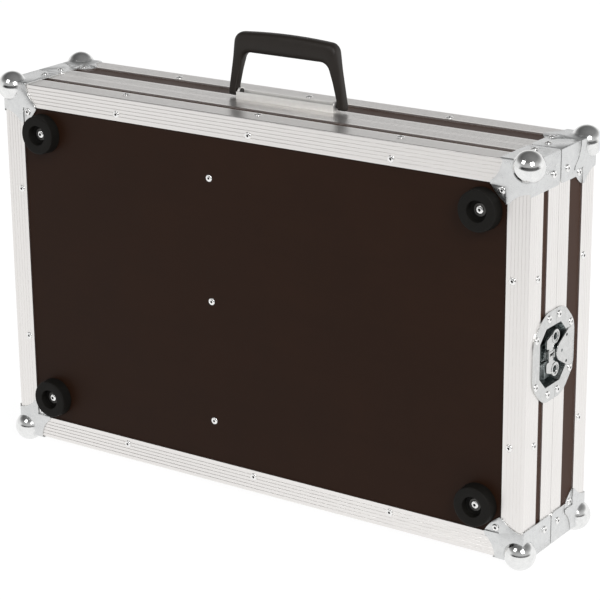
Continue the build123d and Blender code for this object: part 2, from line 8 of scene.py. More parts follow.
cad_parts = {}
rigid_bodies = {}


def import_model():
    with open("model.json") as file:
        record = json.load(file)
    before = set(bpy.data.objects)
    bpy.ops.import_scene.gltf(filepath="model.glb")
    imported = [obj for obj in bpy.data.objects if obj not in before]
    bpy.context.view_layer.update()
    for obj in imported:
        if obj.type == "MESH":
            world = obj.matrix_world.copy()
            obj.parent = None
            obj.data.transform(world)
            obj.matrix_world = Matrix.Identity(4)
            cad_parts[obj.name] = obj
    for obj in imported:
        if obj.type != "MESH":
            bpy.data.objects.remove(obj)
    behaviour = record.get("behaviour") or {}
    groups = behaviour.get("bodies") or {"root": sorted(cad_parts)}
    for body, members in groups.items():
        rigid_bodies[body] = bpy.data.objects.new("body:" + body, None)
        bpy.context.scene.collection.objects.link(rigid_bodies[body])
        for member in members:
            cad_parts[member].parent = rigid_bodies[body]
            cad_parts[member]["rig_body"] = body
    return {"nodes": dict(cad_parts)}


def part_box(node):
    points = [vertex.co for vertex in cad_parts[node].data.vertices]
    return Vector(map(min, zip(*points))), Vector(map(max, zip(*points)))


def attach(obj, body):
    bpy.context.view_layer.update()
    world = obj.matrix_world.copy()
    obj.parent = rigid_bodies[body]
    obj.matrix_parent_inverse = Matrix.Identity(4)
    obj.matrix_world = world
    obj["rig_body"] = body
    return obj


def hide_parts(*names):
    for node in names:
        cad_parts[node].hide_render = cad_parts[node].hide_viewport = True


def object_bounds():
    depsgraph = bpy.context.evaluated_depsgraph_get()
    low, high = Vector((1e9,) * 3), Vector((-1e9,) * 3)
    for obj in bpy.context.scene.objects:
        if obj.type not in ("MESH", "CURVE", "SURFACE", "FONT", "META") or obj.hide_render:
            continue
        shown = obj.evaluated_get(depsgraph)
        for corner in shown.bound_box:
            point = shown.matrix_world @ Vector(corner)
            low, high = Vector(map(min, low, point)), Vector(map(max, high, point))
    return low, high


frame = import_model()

cad_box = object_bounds()

# Film-faced birch boards: the two panels, the walls between the profiles and the divider.
# The film is a dark brown phenolic skin pressed on the plywood, satin, with a faint cloudiness.


class Wire:
    """One output of a node tree, which takes part in Python sums."""

    def __init__(self, tree, socket):
        self.tree, self.socket = tree, socket

    def join(self, operation, *values):
        return add(self.tree, "ShaderNodeMath", {"operation": operation}, dict(enumerate(values)))

    def __add__(self, other):
        return self.join("ADD", self, other)

    def __sub__(self, other):
        return self.join("SUBTRACT", self, other)

    def __rsub__(self, other):
        return self.join("SUBTRACT", other, self)

    def __mul__(self, other):
        return self.join("MULTIPLY", self, other)

    __radd__, __rmul__ = __add__, __mul__


def add(tree, kind, settings=None, sockets=None, output=0):
    """Add a node, set it up, fill its sockets with values or links, and give back one output."""
    node = tree.nodes.new(kind)
    for name, value in (settings or {}).items():
        if name == "stops":
            elements = node.color_ramp.elements
            while len(elements) < len(value):
                elements.new(0.5)
            for element, (position, colour) in zip(elements, value):
                element.position, element.color = position, colour
        elif name == "points":
            curve = node.mapping.curves[0]
            curve.points[0].location, curve.points[-1].location = value[0], value[-1]
            for point in value[1:-1]:
                curve.points.new(*point)
            node.mapping.update()
        else:
            setattr(node, name, value)
    for name, value in (sockets or {}).items():
        if isinstance(value, Wire):
            tree.links.new(value.socket, node.inputs[name])
        else:
            node.inputs[name].default_value = value
    return Wire(tree, node.outputs[output])


def blended(tree, factor, first, second):
    """Colour mix: first where the factor is 0, second where it is 1."""
    return add(tree, "ShaderNodeMix", {"data_type": "RGBA"}, {0: factor, 6: first, 7: second}, 2)


def grain(tree, place, size, detail=3.0, roughness=0.5):
    """Noise from 0 to 1 with features of about this size in metres."""
    return add(tree, "ShaderNodeTexNoise", {"normalize": True}, {
        "Vector": place, "Scale": 1.0 / size, "Detail": detail, "Roughness": roughness})


def stretched(tree, place, scale):
    """The place scaled by axis, so that a pattern draws out along the axis with the small number."""
    return add(tree, "ShaderNodeMapping", None, {"Vector": place, "Scale": scale})


def ramp(tree, value, *stops):
    """Grey levels (at, level) read off by a value from 0 to 1."""
    return add(tree, "ShaderNodeValToRGB", {"stops": [(at, (v, v, v, 1)) for at, v in stops]}, {"Fac": value})


def relief(tree, height, depth, strength=1.0):
    """Bump from a height of 0 to 1 that stands for this depth in metres."""
    return add(tree, "ShaderNodeBump", None, {"Strength": strength, "Distance": depth, "Height": height})


def begin(name, **constants):
    """A new material with a principled shader; the constants are set on the shader itself."""
    material = bpy.data.materials.new(name)
    material.use_nodes = True
    tree = material.node_tree
    shader = tree.nodes["Principled BSDF"]
    for key, value in constants.items():
        shader.inputs[key.replace("_", " ")].default_value = value
    place = add(tree, "ShaderNodeTexCoord", None, None, "Object")
    return material, tree, shader, place


def feed(shader, **wires):
    """Link wires to the shader's inputs of these names."""
    for key, wire in wires.items():
        wire.tree.links.new(wire.socket, shader.inputs[key.replace("_", " ")])


def dressed(obj, material):
    """Give a CAD node this one material."""
    obj.data.materials.clear()
    obj.data.materials.append(material)


def film_finish(name, dark, light):
    """Phenolic film between these two browns, cloudy, faintly streaked and scuffed."""
    material, tree, shader, place = begin(name, Specular_IOR_Level=0.1)
    clouds = grain(tree, place, 0.09, 4.0, 0.6)
    pores = grain(tree, place, 0.0011, 2.0)
    streaks = grain(tree, stretched(tree, place, (6.0, 60.0, 60.0)), 1.0, 5.0, 0.7)
    rubs = grain(tree, stretched(tree, place, (1.0, 1.0, 7.0)), 0.05, 6.0, 0.75)
    scuffs = ramp(tree, rubs, (0.62, 0.0), (0.8, 1.0))
    feed(shader,
         Base_Color=blended(tree, clouds * 0.7 + streaks * 0.3, dark, light),
         Roughness=0.34 + 0.16 * clouds + 0.1 * scuffs + 0.05 * pores,
         Normal=relief(tree, pores * 0.6 + streaks * 0.4, 0.00006, 0.5))
    return material


# The narrow walls are painted paler than the big panels, a painted sheen.
panel_film = film_finish("brown_film", (0.0140, 0.0056, 0.0027, 1), (0.0250, 0.0105, 0.0055, 1))
sheen_wall_film = film_finish("brown_film_painted_sheen", (0.0330, 0.0152, 0.0092, 1), (0.0500, 0.0245, 0.0156, 1))
for name, obj in frame["nodes"].items():
    if "_wall_" in name or name in ("base_panel", "lid_panel", "divider"):
        dressed(obj, sheen_wall_film if "_wall_" in name else panel_film)

# Aluminium extrusions: double-angle edge profiles, closing profiles and the angles at the corners.
# Mill-finish metal with drawing lines along its length, fine scratches and dull patches.


def drawn(along, fine, long):
    """Scale for a pattern this fine across the drawing lines and this long along them."""
    return [long if axis == along else fine for axis in range(3)]


def extrusion_finish(name, along):
    """Drawn aluminium whose lines run along this axis: 0 for X, 1 for Y, 2 for Z."""
    material, tree, shader, place = begin(name, Metallic=1.0)
    lines = grain(tree, stretched(tree, place, drawn(along, 420.0, 2.2)), 1.0, 4.0, 0.65)
    bands = grain(tree, stretched(tree, place, drawn(along, 70.0, 1.3)), 1.0, 3.0, 0.6)
    dull = grain(tree, place, 0.06, 5.0, 0.6)
    dents = grain(tree, stretched(tree, place, (1.0, 1.6, 0.8)), 0.004, 6.0, 0.8)
    marks = ramp(tree, dents, (0.66, 0.0), (0.74, 1.0))
    tone = lines * 0.45 + bands * 0.35 + dull * 0.2
    feed(shader,
         Base_Color=blended(tree, tone, (0.76, 0.735, 0.715, 1), (0.96, 0.94, 0.92, 1)),
         Roughness=0.24 + 0.22 * tone + 0.12 * marks,
         Normal=relief(tree, lines * 0.7 + bands * 0.3, 0.00009, 0.55))
    return material


drawn_x = extrusion_finish("drawn_aluminium_x", 0)
drawn_z = extrusion_finish("drawn_aluminium_z", 2)
drawn_y = extrusion_finish("drawn_aluminium_y", 1)
for name, obj in frame["nodes"].items():
    if "_edge_" in name or "_rim_" in name or "_posts" in name:
        level = name.endswith(("top", "bottom"))
        dressed(obj, drawn_y if "posts" in name else drawn_x if level else drawn_z)

# Ball corners and lid corner braces: pressed from 1.5 mm steel sheet and bright zinc plated.
# The presses leave soft folds and slightly rolled edges, and each is held by blind rivets.


def linked(name, data):
    """A new object in the scene."""
    obj = bpy.data.objects.new(name, data)
    bpy.context.scene.collection.objects.link(obj)
    return obj


def modelled(name, work, material):
    """A worked shape as an object in this material."""
    mesh = bpy.data.meshes.new(name)
    work.to_mesh(mesh)
    work.free()
    mesh.materials.append(material)
    return linked(name, mesh)


def merged(name):
    """A copy of a CAD node's mesh to work on, with the corners of its loose triangles joined."""
    work = bmesh.new()
    work.from_mesh(frame["nodes"][name].data)
    bmesh.ops.remove_doubles(work, verts=work.verts, dist=2e-6)
    return work


def softened(name, material, radius, segments=2, sharp=28.0):
    """A copy of a CAD node with its facets joined and its edges rolled to a small radius."""
    work = merged(name)
    bmesh.ops.dissolve_limit(work, angle_limit=radians(0.6), use_dissolve_boundaries=False,
                             verts=work.verts, edges=work.edges, delimit=set())
    obj = modelled(name + "_raw", work, material)
    roll = obj.modifiers.new("roll", "BEVEL")
    roll.width, roll.segments, roll.limit_method, roll.angle_limit = radius, segments, "ANGLE", radians(sharp)
    roll.use_clamp_overlap, roll.miter_outer = True, "MITER_ARC"
    return applied(obj, name + "_look", sharp)


def applied(obj, name, sharp=40.0):
    """The object's evaluated mesh as a plain new object, shaded smooth up to an angle."""
    bpy.context.view_layer.update()
    evaluated = obj.evaluated_get(bpy.context.evaluated_depsgraph_get())
    mesh = bpy.data.meshes.new_from_object(evaluated)
    mesh.name = name
    bpy.data.objects.remove(obj)
    mesh.shade_smooth()
    mesh.set_sharp_from_angle(angle=radians(sharp))
    return linked(name, mesh)


def mounted(obj, body, node):
    """The piece moves with its body and stands for this CAD node."""
    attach(obj, body)
    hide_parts(node)
    return obj


def painted(obj, name, values):
    """Store a number at each corner of the mesh, for a material to read by this name."""
    obj.data.attributes.new(name, "FLOAT", "POINT").data.foreach_set("value", [float(v) for v in values])


def paint(tree, name):
    """The number that painted stored by this name, or 0 where there is none."""
    return add(tree, "ShaderNodeAttribute", {"attribute_name": name}, None, "Fac")


def split(tree, wire):
    """The X, Y and Z of a vector."""
    node = tree.nodes.new("ShaderNodeSeparateXYZ")
    tree.links.new(wire.socket, node.inputs[0])
    return [Wire(tree, output) for output in node.outputs]


def plated_finish(name, dark, light, low, high, recess_shade=None, metal=1.0):
    """Bright plated steel: cloudy passivation, sheet waviness and hairline scratches.

    Where "polish" is painted 1, as on the drawn balls, the sheet is smoother and brighter, and where
    the attribute for painted shade and black is painted 1 it is painted black. With the recess shade
    given as (floor, mouth, colour), the sheet is painted that colour as painted shade where it lies as
    deep in the case's side as the floor, and less of it up to the mouth. Both are distances from the
    case's middle in X.
    """
    material, tree, shader, place = begin(name, Metallic=metal)
    polish = paint(tree, "polish")
    cloud = grain(tree, place, 0.007, 5.0, 0.7)
    wave = grain(tree, place, 0.006, 2.0, 0.5)
    hair = grain(tree, stretched(tree, place, (90.0, 90.0, 9.0)), 0.08, 6.0, 0.75)
    nicks = ramp(tree, grain(tree, place, 0.0016, 3.0, 0.7), (0.66, 0.0), (0.76, 1.0))
    tone = cloud * 0.85 + nicks * 0.25
    clean = blended(tree, tone + polish * 0.35, dark, light)
    # The bracket's channel gets its painted shade here, and the pins are painted almost black.
    colour = blended(tree, paint(tree, "grime"), clean, (0.02, 0.018, 0.016, 1))
    # Painted shade down in the recessed dishes, darker the deeper the sheet lies.
    if recess_shade:
        floor_x, mouth_x, shade = recess_shade
        sideways = split(tree, place)[0]
        deep = add(tree, "ShaderNodeMapRange", {"interpolation_type": "SMOOTHSTEP"}, {
            0: sideways.join("ABSOLUTE", sideways), 1: floor_x, 2: mouth_x, 3: 1.0, 4: 0.0})
        colour = blended(tree, deep, colour, shade)
    feed(shader,
         Base_Color=colour,
         Roughness=(low + (high - low) * cloud + 0.14 * nicks + 0.05 * hair) * (1 - 0.62 * polish),
         Normal=relief(tree, (wave * 0.8 + hair * 0.2) * (1 - 0.8 * polish), 0.0004, 0.45))
    return material


# What stands further out of the case than the sheet is thick belongs to a ball.
pressed_steel = plated_finish("pressed_corner_steel", (0.56, 0.57, 0.575, 1), (0.9, 0.9, 0.89, 1), 0.16, 0.38)
BALL_STANDS_OUT = 0.0022
PANEL_SUNK = 0.002
case_low = (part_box("base_edge_left")[0][0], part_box("base_panel")[0][1] - PANEL_SUNK,
            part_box("base_edge_bottom")[0][2])
case_high = (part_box("base_edge_right")[1][0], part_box("lid_panel")[1][1] + PANEL_SUNK,
             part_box("base_edge_top")[1][2])


def on_ball(spot):
    """Whether this place on the corner steel stands out of the case."""
    return any(c < low - BALL_STANDS_OUT or c > high + BALL_STANDS_OUT
               for c, low, high in zip(spot, case_low, case_high))


for name, body in (("base_ball_corners", "base"), ("lid_ball_corners", "lid"), ("lid_corner_braces", "lid")):
    look = softened(name, pressed_steel, 0.0004)
    painted(look, "polish", [on_ball(vert.co) for vert in look.data.vertices])
    mounted(look, body, name)

# Blind rivets: domed aluminium heads with the broken steel mandrel sunk in a dimple in the middle,
# and the swollen tails that show inside the case. One head and one tail are turned and repeated.
HEAD_RADIUS, HEAD_HEIGHT = 0.00475, 0.0016
FOOT_HEAD_RADIUS = 0.0055
TAIL_RADIUS, TAIL_LENGTH = 0.0033, 0.002
# The dimple's radius as a part of the head's, and how far along the rivet it can lie from the seat.
# The dimple is painted almost black, a painted shade.
DIMPLE_PART, DIMPLE_REACH = 0.3, 0.003
# Outlines of the head and the tail: how far out and how high the turned shape is, from its tip on.
HEAD_REACH = [(0, 0), (0.16, 0.0), (0.34, 0.24), (0.46, 0.36),
              (0.62, 0.66), (0.82, 0.94), (0.93, 1.0), (1, 1.0)]
HEAD_RISE = [(0, 0.55), (0.16, 0.5), (0.34, 0.56), (0.46, 1.0),
             (0.62, 0.9), (0.82, 0.5), (0.93, 0.16), (1, 0)]
TAIL_REACH = [(0, 0), (0.1, 0.4), (0.35, 0.8), (0.7, 1.0), (0.9, 0.96), (1, 0.72)]
TAIL_RISE = [(0, 1), (0.1, 0.98), (0.35, 0.85), (0.7, 0.5), (0.9, 0.15), (1, 0)]


def islands(name):
    """Lowest and highest corners of each separate solid in a CAD node."""
    work = merged(name)
    seen, found = set(), []
    for start in work.verts:
        if start in seen:
            continue
        group, queue = [], [start]
        seen.add(start)
        while queue:
            vert = queue.pop()
            group.append(vert.co.copy())
            for edge in vert.link_edges:
                other = edge.other_vert(vert)
                if other not in seen:
                    seen.add(other)
                    queue.append(other)
        found.append((Vector(map(min, *group)), Vector(map(max, *group))))
    work.free()
    return found


def turning(tree, radius_points, height_points, radius, height, sides, rings):
    """A turned shape: a grid wrapped round Z whose radius and height follow two curves."""
    grid = tree.nodes.new("GeometryNodeMeshGrid")
    grid.inputs["Size X"].default_value = grid.inputs["Size Y"].default_value = 1.0
    grid.inputs["Vertices X"].default_value, grid.inputs["Vertices Y"].default_value = sides + 1, rings
    sideways, forwards, _ = split(tree, add(tree, "GeometryNodeInputPosition"))
    angle = (sideways + 0.5) * (2 * pi)
    along = forwards + 0.5
    reach = add(tree, "ShaderNodeFloatCurve", {"points": radius_points}, {"Value": along}) * radius
    rise = add(tree, "ShaderNodeFloatCurve", {"points": height_points}, {"Value": along}) * height
    spot = add(tree, "ShaderNodeCombineXYZ", None, {
        0: angle.join("COSINE", angle) * reach, 1: angle.join("SINE", angle) * reach, 2: rise})
    wrapped = add(tree, "GeometryNodeSetPosition", None, {
        "Geometry": Wire(tree, grid.outputs[0]), "Position": spot})
    return add(tree, "GeometryNodeMergeByDistance", None, {"Geometry": wrapped, "Distance": 1e-6})


def new_tree(name, inputs):
    """An empty geometry tree with number inputs of these names and values, and its input wires."""
    tree = bpy.data.node_groups.new(name, "GeometryNodeTree")
    tree.is_modifier = True
    tree.interface.new_socket("Geometry", in_out="INPUT", socket_type="NodeSocketGeometry")
    for label, value in inputs.items():
        tree.interface.new_socket(label, in_out="INPUT", socket_type="NodeSocketFloat").default_value = value
    tree.interface.new_socket("Geometry", in_out="OUTPUT", socket_type="NodeSocketGeometry")
    source = tree.nodes.new("NodeGroupInput")
    return tree, {socket.name: Wire(tree, socket) for socket in source.outputs if socket.name}


def close_tree(tree, geometry, material):
    """Realize, give the material and end the tree."""
    real = add(tree, "GeometryNodeRealizeInstances", None, {"Geometry": geometry})
    finished = add(tree, "GeometryNodeSetMaterial", None, {"Geometry": real, "Material": material})
    tree.links.new(finished.socket, tree.nodes.new("NodeGroupOutput").inputs[0])


def grown(name, tree, mesh, settings):
    """Run a geometry tree on a mesh with these input values and keep the result as a plain mesh."""
    obj = linked("seed", mesh)
    maker = obj.modifiers.new("make", "NODES")
    maker.node_group = tree
    for item in tree.interface.items_tree:
        if item.in_out == "INPUT" and item.name in settings:
            maker[item.identifier] = settings[item.name]
    return applied(obj, name)


# The dimple in the middle of each head is painted almost black, a painted shade.
rivet_metal, tree, shader, place = begin("rivet_metal", Metallic=1.0)
sunk = paint(tree, "sunk")
haze = grain(tree, place, 0.003, 3.0)
feed(shader,
     Base_Color=blended(tree, sunk, (0.9, 0.895, 0.885, 1), (0.02, 0.019, 0.018, 1)),
     Roughness=0.14 + 0.16 * haze + 0.3 * sunk,
     Normal=relief(tree, grain(tree, place, 0.0007, 2.0), 0.00005, 0.4))

rivets, given = new_tree("rivets", {
    "Head Height": HEAD_HEIGHT, "Tail Radius": TAIL_RADIUS, "Tail Length": TAIL_LENGTH})
head = turning(rivets, HEAD_REACH, HEAD_RISE, 1.0, given["Head Height"], sides=24, rings=14)
tail = turning(rivets, TAIL_REACH, TAIL_RISE, given["Tail Radius"], given["Tail Length"], sides=16, rings=8)
outward = add(rivets, "GeometryNodeInputNamedAttribute", {"data_type": "FLOAT_VECTOR"}, {"Name": "outward"})
radius = add(rivets, "GeometryNodeInputNamedAttribute", {"data_type": "FLOAT"}, {"Name": "head_radius"})
facing = add(rivets, "FunctionNodeAlignRotationToVector", {"axis": "Z"}, {"Vector": outward})
is_head = add(rivets, "FunctionNodeCompare", {"data_type": "FLOAT", "operation": "GREATER_THAN"}, {
    0: radius, 1: 0.0001})
is_tail = add(rivets, "FunctionNodeBooleanMath", {"operation": "NOT"}, {0: is_head})
wide = add(rivets, "ShaderNodeCombineXYZ", None, {0: radius, 1: radius, 2: 1.0})
heads = add(rivets, "GeometryNodeInstanceOnPoints", None, {
    "Points": given["Geometry"], "Selection": is_head, "Instance": head, "Rotation": facing, "Scale": wide})
tails = add(rivets, "GeometryNodeInstanceOnPoints", None, {
    "Points": given["Geometry"], "Selection": is_tail, "Instance": tail, "Rotation": facing})
both = rivets.nodes.new("GeometryNodeJoinGeometry")
for part in (tails, heads):
    rivets.links.new(part.socket, both.inputs[0])
close_tree(rivets, Wire(rivets, both.outputs[0]), rivet_metal)

case_centre = (Vector(cad_box[0]) + Vector(cad_box[1])) / 2
for name in [n for n in frame["nodes"] if n.endswith("_rivets")]:
    spots = []
    for low, high in islands(name):
        size = high - low
        head_radius = FOOT_HEAD_RADIUS if name == "foot_rivets" else HEAD_RADIUS
        axis = max(range(3), key=lambda i: abs(size[i] - 2 * head_radius))
        middle = (low + high) / 2
        out = Vector((0, 0, 0))
        out[axis] = 1.0 if middle[axis] > case_centre[axis] else -1.0
        top, end = (high, low) if out[axis] > 0 else (low, high)
        seat = middle.copy()
        seat[axis] = top[axis] - out[axis] * HEAD_HEIGHT
        spots.append((seat, out, head_radius))
        if name != "divider_rivets":
            tip = middle.copy()
            tip[axis] = end[axis] + out[axis] * TAIL_LENGTH
            spots.append((tip, -out, 0.0))
    seed = bpy.data.meshes.new("seed")
    seed.from_pydata([tuple(spot) for spot, _, _ in spots], [], [])
    seed.attributes.new("outward", "FLOAT_VECTOR", "POINT").data.foreach_set(
        "vector", [c for _, out, _ in spots for c in out])
    seed.attributes.new("head_radius", "FLOAT", "POINT").data.foreach_set("value", [r for _, _, r in spots])
    look = grown(name + "_look", rivets, seed, {"Head Height": HEAD_HEIGHT})
    # Mark the dimple of each head for its painted shade.
    darkness = [0.0] * len(look.data.vertices)
    for seat, out, head_radius in spots:
        if head_radius:
            for i, vert in enumerate(look.data.vertices):
                apart = vert.co - seat
                along = apart.dot(out)
                if abs(along) < DIMPLE_REACH and (apart - along * out).length < DIMPLE_PART * head_radius:
                    darkness[i] = 1.0
    painted(look, "sunk", darkness)
    mounted(look, frame["nodes"][name]["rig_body"], name)

# Rubber feet: moulded black rubber, slightly tapered. A rivet through a steel washer, sunk in
# the middle of each, holds it on the panel. The washer's steel is painted dark as painted shade.
rubber, tree, shader, place = begin("foot_rubber", Specular_IOR_Level=0.16)
bloom = grain(tree, place, 0.012, 4.0, 0.6)
grit = grain(tree, place, 0.0006, 3.0, 0.6)
feed(shader,
     Base_Color=blended(tree, bloom * 0.7 + grit * 0.3, (0.003, 0.0026, 0.002, 1), (0.009, 0.008, 0.0065, 1)),
     Roughness=0.5 + 0.25 * bloom,
     Normal=relief(tree, grit, 0.0001, 0.6))
mounted(softened("rubber_feet", rubber, 0.0006, 3), "base", "rubber_feet")
# Painted shade: the washers sit down in the feet's recesses, so their steel is painted dark.
shaded_washer_steel = plated_finish("shaded_washer_steel", (0.05, 0.048, 0.045, 1), (0.16, 0.155, 0.15, 1), 0.35, 0.5)
mounted(softened("foot_washers", shaded_washer_steel, 0.0003), "base", "foot_washers")

# Latches: recessed dishes in two halves, the keeper tongue on the lid's half, and the turning
# spindle with its hook and two folding wings. Stamped steel, bright plated and a little handled,
# with painted shade that darkens it down in the dishes. The flanges are riveted to the profiles.
# Where the dishes' painted shade is full and where it ends, as distances from the case's middle in X.
DISH_DARK_AT, DISH_CLEAR_AT = 0.383, 0.3912
latch_steel = plated_finish("latch_steel", (0.5, 0.505, 0.5, 1), (0.86, 0.86, 0.85, 1), 0.1, 0.3,
                            (DISH_DARK_AT, DISH_CLEAR_AT, (0.3, 0.33, 0.33, 1)))
for side in ("left", "right"):
    for name, body, radius in (("latch_dish", "base", 0.0006), ("keeper_dish", "lid", 0.0005),
                               ("latch_spindle", "spindle", 0.0003), ("wing_pins", "spindle", 0.0002),
                               ("latch_hook", "hook", 0.0004), ("wing_upper", "upper", 0.0005),
                               ("wing_lower", "lower", 0.0005)):
        node = f"{name}_{side}"
        body = body if body in ("base", "lid") else f"{body}_{side}"
        mounted(softened(node, latch_steel, radius), body, node)

# Handle bracket and pins: folded zinc plated steel channel with two lugs, riveted through the profile.
# The channel's floor is darkened with painted shade, and the pins are painted almost black.
CHANNEL_HALF, CHANNEL_RISE = 0.0068, 0.0085
# How dark the channel's painted shade is, and how nearly black the pins are painted.
CHANNEL_SHADE, PIN_DARKNESS = 0.55, 0.97
bracket_steel = plated_finish("bracket_steel", (0.84, 0.825, 0.8, 1), (0.98, 0.965, 0.94, 1), 0.4, 0.5,
                              metal=0.75)
bracket_low, bracket_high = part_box("handle_bracket")
axis_y = (bracket_low[1] + bracket_high[1]) / 2


def in_channel(spot):
    """Whether this place on the bracket is inside its channel."""
    return abs(spot.y - axis_y) < CHANNEL_HALF and spot.z < bracket_low[2] + CHANNEL_RISE


bracket = softened("handle_bracket", bracket_steel, 0.0004)
# Painted shade on the channel's floor, deep between its walls.
painted(bracket, "grime", [CHANNEL_SHADE * in_channel(vert.co) for vert in bracket.data.vertices])
mounted(bracket, "lid", "handle_bracket")
hinge_pins = softened("handle_pins", bracket_steel, 0.0003)
painted(hinge_pins, "grime", [PIN_DARKNESS] * len(hinge_pins.data.vertices))
mounted(hinge_pins, "lid", "handle_pins")

# Carrying handle: one moulding in black plastic, a crowned bar on two leaning legs, finely grained.
# It is lofted through rounded sections that span from the inner outline to the outer one, and its
# feet turn on the bracket's pins.
moulded, tree, shader, place = begin("grip_plastic", Specular_IOR_Level=0.3)
leather = add(tree, "ShaderNodeTexVoronoi", {"feature": "SMOOTH_F1"}, {"Vector": place, "Scale": 900.0})
rubbed = grain(tree, place, 0.03, 4.0, 0.6)
feed(shader,
     Base_Color=blended(tree, rubbed, (0.010, 0.0075, 0.0058, 1), (0.02, 0.0155, 0.0122, 1)),
     Roughness=0.36 + 0.16 * rubbed + 0.06 * leather,
     Normal=relief(tree, leather, 0.00008, 0.45))

# Seen from the front: widths of a leg, how far it leans inwards, and the bar's height and crown.
GRIP_FOOT_WIDTH, GRIP_TOP_WIDTH = 0.013, 0.011
GRIP_LEAN = 0.0136
GRIP_BAR_HEIGHT, GRIP_CROWN = 0.0280, 0.0035
OUTER_ROUND, INNER_ROUND = 0.0105, 0.0145
# The inside of each leg is upright below the knee, so that it clears the bracket when it folds.
KNEE_HEIGHT = 0.01325
# The section swells from the leg's to the bar's over this part of the height, and gets rounder.
LEG_DEPTH, BAR_DEPTH = 0.0125, 0.020
LEG_SQUARENESS, BAR_SQUARENESS = 4.2, 3.0
SWELL_FROM, SWELL_OVER = 0.45, 0.35
FOOT_STEPS, LEG_STEPS, BEND_POINTS, BAR_STEPS = 4, 10, 13, 14
SIDES = 28


def bend_points(start, corner, end, radius, count):
    """Arc of this radius that rounds the corner of a path."""
    into, away = (corner - start).normalized(), (end - corner).normalized()
    half = into.angle(away) / 2
    trim = radius * tan(half)
    first, last = corner - into * trim, corner + away * trim
    centre_way = (away - into).normalized()
    centre = corner + centre_way * (radius / cos(half))
    spoke, other = first - centre, last - centre
    full = spoke.angle(other)
    return [centre + (spoke * sin(full * (1 - t)) + other * sin(full * t)) / sin(full)
            for t in (i / (count - 1) for i in range(count))]


def straight(start, end, count):
    """Points from the start towards the end, without the end."""
    return [start.lerp(end, i / count) for i in range(count)]


def half_outline(foot, knee, shoulder, middle, radius, crown):
    """Outline from the right foot past the knee and round the shoulder to the middle of the bar."""
    bend = bend_points(knee, shoulder, middle, radius, BEND_POINTS)
    points = straight(foot, knee, FOOT_STEPS) + straight(knee, bend[0], LEG_STEPS) + bend
    points += [bend[-1].lerp(middle, i / BAR_STEPS) for i in range(1, BAR_STEPS + 1)]
    reach, climb = middle.x - shoulder.x, shoulder.z - foot.z
    crowned = []
    for point in points:
        on_bar = min(1, max(0, (point.z - foot.z) / climb)) ** 8
        arch = 1 - ((point.x - middle.x) / reach) ** 2
        crowned.append(Vector((point.x, 0, point.z + crown * arch * on_bar)))
    return crowned


grip_low, grip_high = (Vector(corner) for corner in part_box("handle_grip"))
base_z, top_z = grip_low.z, grip_high.z
outer_x = grip_high.x
outer_foot = Vector((outer_x, 0, base_z))
outer_shoulder = Vector((outer_x - GRIP_LEAN, 0, top_z - GRIP_CROWN))
outer = half_outline(outer_foot, outer_foot.lerp(outer_shoulder, KNEE_HEIGHT / (outer_shoulder.z - base_z)),
                     outer_shoulder, Vector((0, 0, top_z - GRIP_CROWN)), OUTER_ROUND, GRIP_CROWN)
inner_foot = Vector((outer_x - GRIP_FOOT_WIDTH, 0, base_z))
inner = half_outline(inner_foot, inner_foot + Vector((0, 0, KNEE_HEIGHT)),
                     Vector((outer_x - GRIP_LEAN - GRIP_TOP_WIDTH, 0, top_z - GRIP_BAR_HEIGHT)),
                     Vector((0, 0, top_z - GRIP_BAR_HEIGHT)), INNER_ROUND, 0.0)
outer += [Vector((-p.x, 0, p.z)) for p in reversed(outer[:-1])]
inner += [Vector((-p.x, 0, p.z)) for p in reversed(inner[:-1])]
grip_y = (grip_low.y + grip_high.y) / 2
pivot_z = base_z + LEG_DEPTH / 2
work = bmesh.new()
rings = []
for out_point, in_point in zip(outer, inner):
    middle = (out_point + in_point) / 2
    rise = (middle.z - base_z) / (top_z - base_z)
    swell = max(0.0, min(1.0, (rise - SWELL_FROM) / SWELL_OVER))
    swell = swell * swell * (3 - 2 * swell)
    depth = LEG_DEPTH + (BAR_DEPTH - LEG_DEPTH) * swell
    if middle.z < pivot_z:
        depth *= max(0.04, 1 - ((pivot_z - middle.z) / (LEG_DEPTH / 2)) ** 2) ** 0.5
    across = (out_point - in_point) / 2
    power = 2 / (LEG_SQUARENESS + (BAR_SQUARENESS - LEG_SQUARENESS) * swell)
    ring = []
    for k in range(SIDES):
        angle = 2 * pi * k / SIDES
        u, v = (copysign(abs(c) ** power, c) for c in (cos(angle), sin(angle)))
        ring.append(work.verts.new(middle + across * u + Vector((0, grip_y + depth / 2 * v, 0))))
    rings.append(ring)
for first, second in zip(rings, rings[1:]):
    for k in range(SIDES):
        work.faces.new((first[k], first[(k + 1) % SIDES], second[(k + 1) % SIDES], second[k]))
for ring in (rings[0], rings[-1]):
    work.faces.new(ring)
bmesh.ops.recalc_face_normals(work, faces=work.faces)
grip = modelled("grip_raw", work, moulded)
smooth = grip.modifiers.new("smooth", "SUBSURF")
smooth.levels = smooth.render_levels = 1
mounted(applied(grip, "handle_grip_look", sharp=50.0), "handle", "handle_grip")

# Foam lining: soft dark grey open-cell foam, cut flat with shallow ribs in the base, where the
# controller lies, and convoluted in the lid so that its peaks hold the load down.
foam, tree, shader, place = begin("lining_foam", Specular_IOR_Level=0.15, Roughness=0.95)
cells = add(tree, "ShaderNodeTexVoronoi", {"feature": "F1"}, {"Vector": place, "Scale": 850.0})
tint = grain(tree, place, 0.02, 3.0)
feed(shader,
     Base_Color=blended(tree, cells * 0.6 + tint * 0.4, (0.012, 0.012, 0.013, 1), (0.05, 0.05, 0.053, 1)),
     Normal=relief(tree, cells, 0.0008, 0.8))
FOAM_STEP = 0.004
PEAK_PITCH = 0.032
# Waves of the base pads and of the lid pad, from peak to valley.
RIB_DEPTH, PEAK_DEPTH = 0.0015, 0.012
FOAM_CORNER = 0.026
EDGE_ROUND, EDGE_SOFTNESS = 0.008, 0.4


